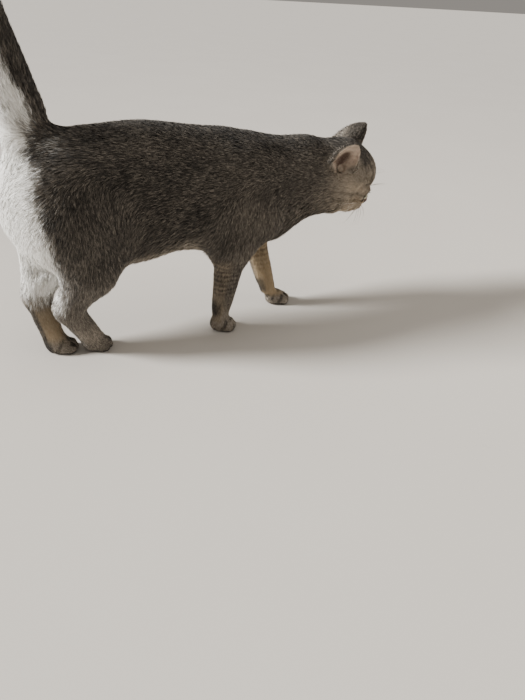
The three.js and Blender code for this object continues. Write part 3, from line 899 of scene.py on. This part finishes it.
def make_eye(name, side):
    """An eyeball with its bulging clear front, facing along the gaze."""
    centre, across, up, gaze = eye_axes(side)
    rings, spokes = 40, 56
    polar = np.linspace(0, math.pi, rings + 1)[1:-1]
    spin = np.linspace(0, 2 * math.pi, spokes, endpoint=False)
    polar, spin = (g.ravel() for g in np.meshgrid(polar, spin, indexing="ij"))
    polar = np.concatenate([polar, [0, math.pi]])
    spin = np.concatenate([spin, [0, 0]])
    radius = EYE_RADIUS - 0.35 + 0.9 * rise(math.radians(44) - polar, 0, math.radians(40))
    dial = np.stack([np.sin(polar) * np.cos(spin), np.sin(polar) * np.sin(spin), np.cos(polar)], 1)
    points = centre + (dial * radius[:, None]) @ np.stack([across, up, gaze])
    front, back = len(points) - 2, len(points) - 1
    last = front - spokes
    faces = []
    for k in range(spokes):
        beside = (k + 1) % spokes
        for here in range(0, last, spokes):
            there = here + spokes
            faces.append([here + k, there + k, there + beside, here + beside])
        faces += [[front, k, beside], [last + beside, last + k, back]]
    eye = listed_mesh(name, from_head(points), faces)
    store(eye.data, "dial", dial)
    return eye


def make_nose():
    """The nose leather: a broad wedge, split below, with two comma-shaped nostrils."""
    cell = 0.35
    low, high = np.array([-9.0, -62, -24]), np.array([9.0, -48, -5])
    steps = [np.arange(a, b, cell) for a, b in zip(low, high)]
    q = np.stack(np.meshgrid(*steps, indexing="ij"), -1)
    shape = q.shape[:3]
    q = q.reshape(-1, 3).astype(np.float32)
    d = ball(q, (0, -53.2, -10.6), (5.6, 3.4, 2.6))
    d = blended(d, ball(q, (0, -53.6, -15), (2.8, 3.1, 3.6)), 4)
    for side in (-1, 1):
        d = blended(d, ball(q, (side * 4.1, -52.9, -12.4), (2.3, 3.0, 2.3)), 2)
        nostril = [(side * 2.1, -57, -13.2), (side * 3.8, -56.2, -12.2), (side * 6.2, -53.6, -12.6)]
        d = pressed(d, fold(q, nostril, 0.65), 0.8)
    d = pressed(d, rod(q, (0, -57.4, -12), (0, -57, -20), 0.3, 0.3), 0.8)
    grid = openvdb.FloatGrid()
    grid.background = 3.0
    grid.transform = openvdb.createLinearTransform(voxelSize=cell)
    grid.copyFromArray(d.reshape(shape).astype(np.float32))
    points, _, quads = grid.convertToPolygons(isovalue=0.0)
    return closed_surface("nose_leather", from_head(points + low), quads)


def hair_tubes(name, starts, bends, radius, sides, steps):
    """Tapered hairs: each runs from its start through the turn of its own bend."""
    t = np.linspace(0, 1, steps + 1)
    points, faces = [], []
    for start, (first, last, length) in zip(starts, bends):
        first, last = unit(np.asarray(first, float)), unit(np.asarray(last, float))
        path = start + length * MM * (t[:, None] * first + 0.5 * t[:, None] ** 2 * (last - first))
        tangent = unit(np.gradient(path, axis=0))
        aside = unit(np.cross(tangent, [0.2, 0.3, 0.93]))
        other = np.cross(tangent, aside)
        base = len(points) * (steps + 1) * sides
        size = radius * MM * (1 - t) ** 0.7 + 0.03 * MM
        angle = np.arange(sides) * 2 * math.pi / sides
        ring = aside[:, None] * np.cos(angle)[:, None] + other[:, None] * np.sin(angle)[:, None]
        points.append((path[:, None] + ring * size[:, None, None]).reshape(-1, 3))
        for step in range(steps):
            for k in range(sides):
                a, b = base + step * sides + k, base + step * sides + (k + 1) % sides
                faces.append([a, b, b + sides, a + sides])
        faces.append([base + k for k in reversed(range(sides))])
        faces.append([base + steps * sides + k for k in range(sides)])
    return listed_mesh(name, np.concatenate(points), faces)


def make_whiskers():
    """Four rows of whiskers and three brow hairs a side, none of them past WHISKER_REACH."""
    starts, bends = [], []
    down = np.array([0, 0, -1.0])

    def hair(at, out, end, length):
        start = from_head(at)
        forward = -0.5 * (unit(out) + unit(end))[1]
        starts.append(start)
        bends.append((out, end, min(length, (start[1] / MM + WHISKER_REACH) / max(forward, 0.1))))

    for side in (-1, 1):
        for row in range(4):
            for column in range(4 if row < 3 else 2):
                at = [side * (13 + 2.6 * column), -52 + 4.2 * column, -18 - 3.2 * row]
                out = HEAD_TURN @ np.array([side * 1.0, -0.35 + 0.42 * column, 0.12 - 0.2 * row])
                end = unit(out) * 0.8 + HEAD_TURN @ np.array([0, 0.55, -0.1]) + down * (0.35 + 0.1 * row)
                hair(at, out, end, 44 - 6 * row + 5 * column + 4 * chance.random())
        for k in range(3):
            out = HEAD_TURN @ np.array([side * (0.2 + 0.2 * k), -0.45, 1.0])
            hair([side * (20 + 3 * k), -40 + 1.5 * k, 14], out, out + down * 0.5, 26 + 4 * k)
    return hair_tubes("whiskers", starts, bends, 0.27, 4, 10)


def make_ear_hair():
    """Fine pale hairs on the front wall of each ear cup, swept up and back over its opening."""
    starts, bends = [], []
    for ear in EARS.values():
        turn = HEAD_TURN @ ear_turn(ear)
        front = -ear["side"]
        for k in range(int(460 * max(CROWD, 0.4))):
            t, reach, spread = chance.random(3)
            t = 0.04 + 0.62 * t**1.3
            width, roll = ear_profile(t, 0, True)
            radius = (width - 1.0) / math.sin(min(roll, math.pi / 2))
            angle = roll * (0.3 + 0.66 * reach)
            sunk = radius * (math.cos(angle) - 1) - 2.4
            place = np.array([front * radius * math.sin(angle), sunk, EAR_HEIGHT * t])
            lean = chance.random(3) - 0.5
            first = turn @ (np.array([-front * 0.3, -0.8, 0.7]) + 0.5 * lean)
            last = turn @ (np.array([-front * 0.5, -0.35, 0.9]) + 0.5 * lean)
            starts.append(from_ear(ear, place[None])[0])
            bends.append((first, last, (5 + 7 * spread) * (1 - 0.45 * t)))
    return hair_tubes("ear_hair", starts, bends, 0.16, 3, 5)


# ------------------------ finishes

class Value:
    """A socket of a finish, for arithmetic."""

    def __init__(self, finish, socket):
        self.finish = finish
        self.socket = socket

    def math(self, operation, *others):
        inputs = dict(enumerate((self, *others)))
        return self.finish.node("ShaderNodeMath", {"operation": operation}, inputs)

    def __add__(self, other):
        return self.math("ADD", other)

    __radd__ = __add__

    def __mul__(self, other):
        return self.math("MULTIPLY", other)

    __rmul__ = __mul__

    def __sub__(self, other):
        return self.math("SUBTRACT", other)

    def __rsub__(self, other):
        return (self * -1) + other

    def at_most(self, other):
        return self.math("MINIMUM", other)

    def rise(self, low, high):
        """0 below low, 1 above high, with a soft step between."""
        return self.finish.node(
            "ShaderNodeMapRange",
            {"interpolation_type": "SMOOTHSTEP"},
            {"Value": self, "From Min": low, "From Max": high},
        )


class Finish:
    """A material in the making, and the one method that adds its nodes."""

    def __init__(self, name, **surface):
        self.material = bpy.data.materials.new(name)
        self.material.use_nodes = True
        self.tree = self.material.node_tree
        self.surface = self.tree.nodes["Principled BSDF"]
        for socket, value in surface.items():
            self.surface.inputs[socket.replace("_", " ")].default_value = value

    def node(self, kind, settings, sockets, output=0):
        made = self.tree.nodes.new(kind)
        for setting, value in settings.items():
            setattr(made, setting, value)
        for socket, value in sockets.items():
            if isinstance(value, Value):
                self.tree.links.new(value.socket, made.inputs[socket])
            else:
                made.inputs[socket].default_value = value
        return Value(self, made.outputs[output])

    def attribute(self, name, output="Fac"):
        return self.node("ShaderNodeAttribute", {"attribute_name": name}, {}, output)

    def noise(self, size_mm, detail, stretch=(1, 1, 1)):
        """A pattern laid out by the roots of the tufts."""
        root = self.attribute("root", "Vector")
        place = self.node("ShaderNodeVectorMath", {"operation": "MULTIPLY"}, {0: root, 1: stretch})
        return self.node(
            "ShaderNodeTexNoise", {}, {"Vector": place, "Scale": 1000 / size_mm, "Detail": detail})

    def texture(self, kind, **sockets):
        """A pattern laid out in the scene's own space."""
        place = self.node("ShaderNodeNewGeometry", {}, {})
        return self.node("ShaderNodeTex" + kind, {}, {"Vector": place, **sockets})

    def mix(self, first, second, share):
        """Between two colours, values or hex codes, by a share from 0 to 1."""
        first, second = (shade(c) if isinstance(c, str) else c for c in (first, second))
        return self.node(
            "ShaderNodeMix", {"data_type": "RGBA"}, {"Factor": share, 6: first, 7: second}, 2)

    def connect(self, **sockets):
        for socket, value in sockets.items():
            self.tree.links.new(value.socket, self.surface.inputs[socket.replace("_", " ")])
        return self.material


def shade(hexed):
    """A colour from its hex code, as linear light."""
    parts = [int(hexed[i:i + 2], 16) / 255 for i in (0, 2, 4)]
    return (*[p / 12.92 if p <= 0.04045 else ((p + 0.055) / 1.055) ** 2.4 for p in parts], 1)


PALE_TICK, DARK_TICK = "90877b", "2a2622"
PALE_FACE = "e6d8c5"
DEEP = "171412"
TAN, CREAM = "a78e6c", "ddc8a6"
WHITE, SHADED_WHITE = "fdfcf8", "e0dcd3"
PINK, FLESH_SHADE, CANAL_SHADE = "d8c2b0", "9d8072", "3c2820"
PINK_FUR = "e9dccb"


def coat_colour(f, along, tint):
    """The colour of the fur: ticked silver-grey ground, with the masks laid over it."""
    drift = f.noise(30, 2)
    fleck = f.noise(1.8, 1)
    white, warm, light, dark, pink = (f.attribute(name) for name in MASKS[:5])
    shadow = (fleck * 1.5 + tint * 0.5 + drift * 0.5 - along * 0.1 - light * 0.45 - 0.62).rise(0.02, 0.82)
    silver = f.mix(PALE_TICK, PALE_FACE, light)
    ground = f.mix(silver, f.mix(TAN, CREAM, tint), warm)
    ticking = shadow * (1 - warm * 0.65) * (0.92 - light * 0.45) + dark * 0.4
    ticked = f.mix(ground, DARK_TICK, ticking.at_most(1))
    marked = f.mix(ticked, DEEP, (dark * (0.5 + shadow * 0.5)).at_most(1))
    streak = f.noise(5, 1, (1, 1, 0.3))
    edge = (white + (tint - 0.5) * 0.55 + (streak - 0.5) * 0.9).rise(0.2, 0.85) * (white * 6).at_most(1)
    # white fur is greyer towards its roots as painted shade among the hairs, and varies at random by tint
    pale = f.mix(marked, f.mix(SHADED_WHITE, WHITE, (tint * 0.7 + along * 0.6 + 0.1).at_most(1)), edge)
    return f.mix(pale, PINK_FUR, pink * 0.85)


def coat_finish():
    f = Finish("fur", Roughness=0.62, Specular_IOR_Level=0.28, Sheen_Weight=0.12, Sheen_Roughness=0.5)
    along = f.attribute("along")
    tint = f.attribute("tint")
    colour = coat_colour(f, along, tint)
    return f.connect(Base_Color=colour, Roughness=0.5 + tint * 0.2)


def skin_finish():
    f = Finish("hide", Roughness=0.7, Specular_IOR_Level=0.3)
    grain = f.noise(1.6, 3)
    colour = coat_colour(f, grain * 0.4, f.noise(0.9, 1))
    pink, bare, canal = (f.attribute(k) for k in ("pink", "bare", "canal"))
    flesh = f.mix(PINK, FLESH_SHADE, f.noise(7, 3).rise(0.35, 0.75))
    colour = f.mix(colour, flesh, (pink * 0.85).at_most(1))
    # painted shade deep in the ear canal
    colour = f.mix(colour, CANAL_SHADE, canal)
    colour = f.mix(colour, "211a18", bare)
    height = grain + f.noise(0.8, 1) * 0.5
    bump = f.node("ShaderNodeBump", {}, {"Strength": 0.5, "Distance": 0.0006, "Height": height})
    return f.connect(Base_Color=colour, Roughness=0.75 - bare * 0.3, Normal=bump)


def eye_finish():
    f = Finish("eye", Roughness=0.12, Specular_IOR_Level=0.5, Coat_Weight=1.0, Coat_Roughness=0.02)
    dial = f.attribute("dial", "Vector")
    parts = f.tree.nodes.new("ShaderNodeSeparateXYZ")
    f.tree.links.new(dial.socket, parts.inputs[0])
    across, up, front = (Value(f, s) for s in parts.outputs)
    reach = (across * across + up * up).math("SQRT")
    slit = (across * across * 17 + up * up * 2.3).math("SQRT")
    fibres = f.node("ShaderNodeTexNoise", {}, {"Vector": dial, "Scale": 22.0, "Detail": 4.0})
    # the iris greens are the eye's own colour, darkened further as painted shade over the eye
    iris = f.mix("3d4722", "858347", (fibres + reach * -0.8 + 0.35).rise(0.25, 0.75))
    iris = f.mix(iris, "12120b", reach.rise(0.46, 0.64))
    colour = f.mix(iris, "2c211d", reach.rise(0.8, 0.88))
    colour = f.mix("050505", colour, slit.rise(0.93, 1.05))
    colour = f.mix("5a3d36", colour, front.rise(-0.1, 0.1))
    return f.connect(Base_Color=colour)


def nose_finish():
    f = Finish("nose_skin", Roughness=0.42, Specular_IOR_Level=0.5, Coat_Weight=0.15, Coat_Roughness=0.3)
    pebble = f.texture("Voronoi", Scale=1400.0)
    mottle = f.texture("Noise", Scale=260.0, Detail=3.0)
    colour = f.mix("6b4742", "382523", mottle.rise(0.35, 0.7))
    bump = f.node("ShaderNodeBump", {}, {"Strength": 0.35, "Distance": 0.0003, "Height": pebble})
    return f.connect(Base_Color=colour, Normal=bump)


def hair_finish(name, colour, shadow):
    f = Finish(name, Roughness=0.35, Specular_IOR_Level=0.5)
    mottle = f.texture("Noise", Scale=300.0, Detail=2.0)
    return f.connect(Base_Color=f.mix(colour, shadow, mottle.rise(0.4, 0.8)))


# ------------------------ studio

def make_camera():
    camera = placed("camera", bpy.data.cameras.new("camera"))
    camera.data.lens = CAMERA_LENS
    camera.data.clip_start = 0.01
    back = CAMERA_RIGHT.cross(CAMERA_UP)
    turn = Matrix((CAMERA_RIGHT, CAMERA_UP, back)).transposed()
    camera.matrix_world = Matrix.Translation(CAMERA_AT) @ turn.to_4x4()
    bpy.context.scene.camera = camera


def make_lamp(name, kind, at, aim, power, colour, **settings):
    data = bpy.data.lights.new(name, kind)
    data.energy = power
    data.color = colour
    for setting, value in settings.items():
        setattr(data, setting, value)
    lamp = placed(name, data)
    lamp.location = at
    lamp.rotation_euler = (Vector(aim) - Vector(at)).to_track_quat("-Z", "Y").to_euler()


def make_studio():
    bpy.ops.mesh.primitive_circle_add(vertices=96, radius=40, fill_type="NGON")
    floor = bpy.context.object
    floor.name = "floor"
    f = Finish("studio_floor", Roughness=0.6, Specular_IOR_Level=0.3)
    mottle = f.texture("Noise", Scale=3.0, Detail=3.0)
    floor.data.materials.append(f.connect(Base_Color=f.mix("cdc7bf", "d3cec6", mottle)))
    world = bpy.data.worlds.new("studio")
    world.use_nodes = True
    sky = world.node_tree.nodes["Background"].inputs
    sky["Color"].default_value = (1.0, 0.93, 0.85, 1)
    sky["Strength"].default_value = 0.29
    bpy.context.scene.world = world
    disk = {"shape": "DISK"}
    broad = {"angle": math.radians(14)}
    make_lamp("window", "SUN", (0, 0, 0), (-0.72, -2.25, -1.2), 8.5, (1, 0.99, 0.97), **broad)
    make_lamp("overhead", "AREA", (-0.4, -0.2, 2.3), (0, 0, 0.2), 14, (1, 0.96, 0.9), size=2.0, **disk)
    make_lamp("front", "AREA", (-1.5, -1.6, 0.8), (0, -0.1, 0.2), 9, (1, 0.93, 0.84), size=1.6, **disk)


def dressed(piece, finish, slot, *stood_for):
    """Gives a piece its finish and its body, and hides the frame's nodes that it replaces; slot is not
    used.
    """
    piece.data.materials.append(finish)
    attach(piece, "root")
    if stood_for:
        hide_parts(*stood_for)


def main():
    make_camera()
    make_studio()
    skin = make_skin()
    mark_skin(skin)
    dressed(skin, skin_finish(), "coat", *FLESH)
    fur = coat_finish()
    for piece in grow_coat(skin):
        dressed(piece, fur, "coat")
    eye = eye_finish()
    for name, side in (("right", -1), ("left", 1)):
        dressed(make_eye("eyeball_" + name, side), eye, "eye", "eye_" + name)
    dressed(make_nose(), nose_finish(), "nose", "nose")
    dressed(make_whiskers(), hair_finish("whisker", "f4f0e8", "d5ccbf"), "coat")
    dressed(make_ear_hair(), hair_finish("ear_hair", "eee5d8", "cdbfae"), "coat")


main()
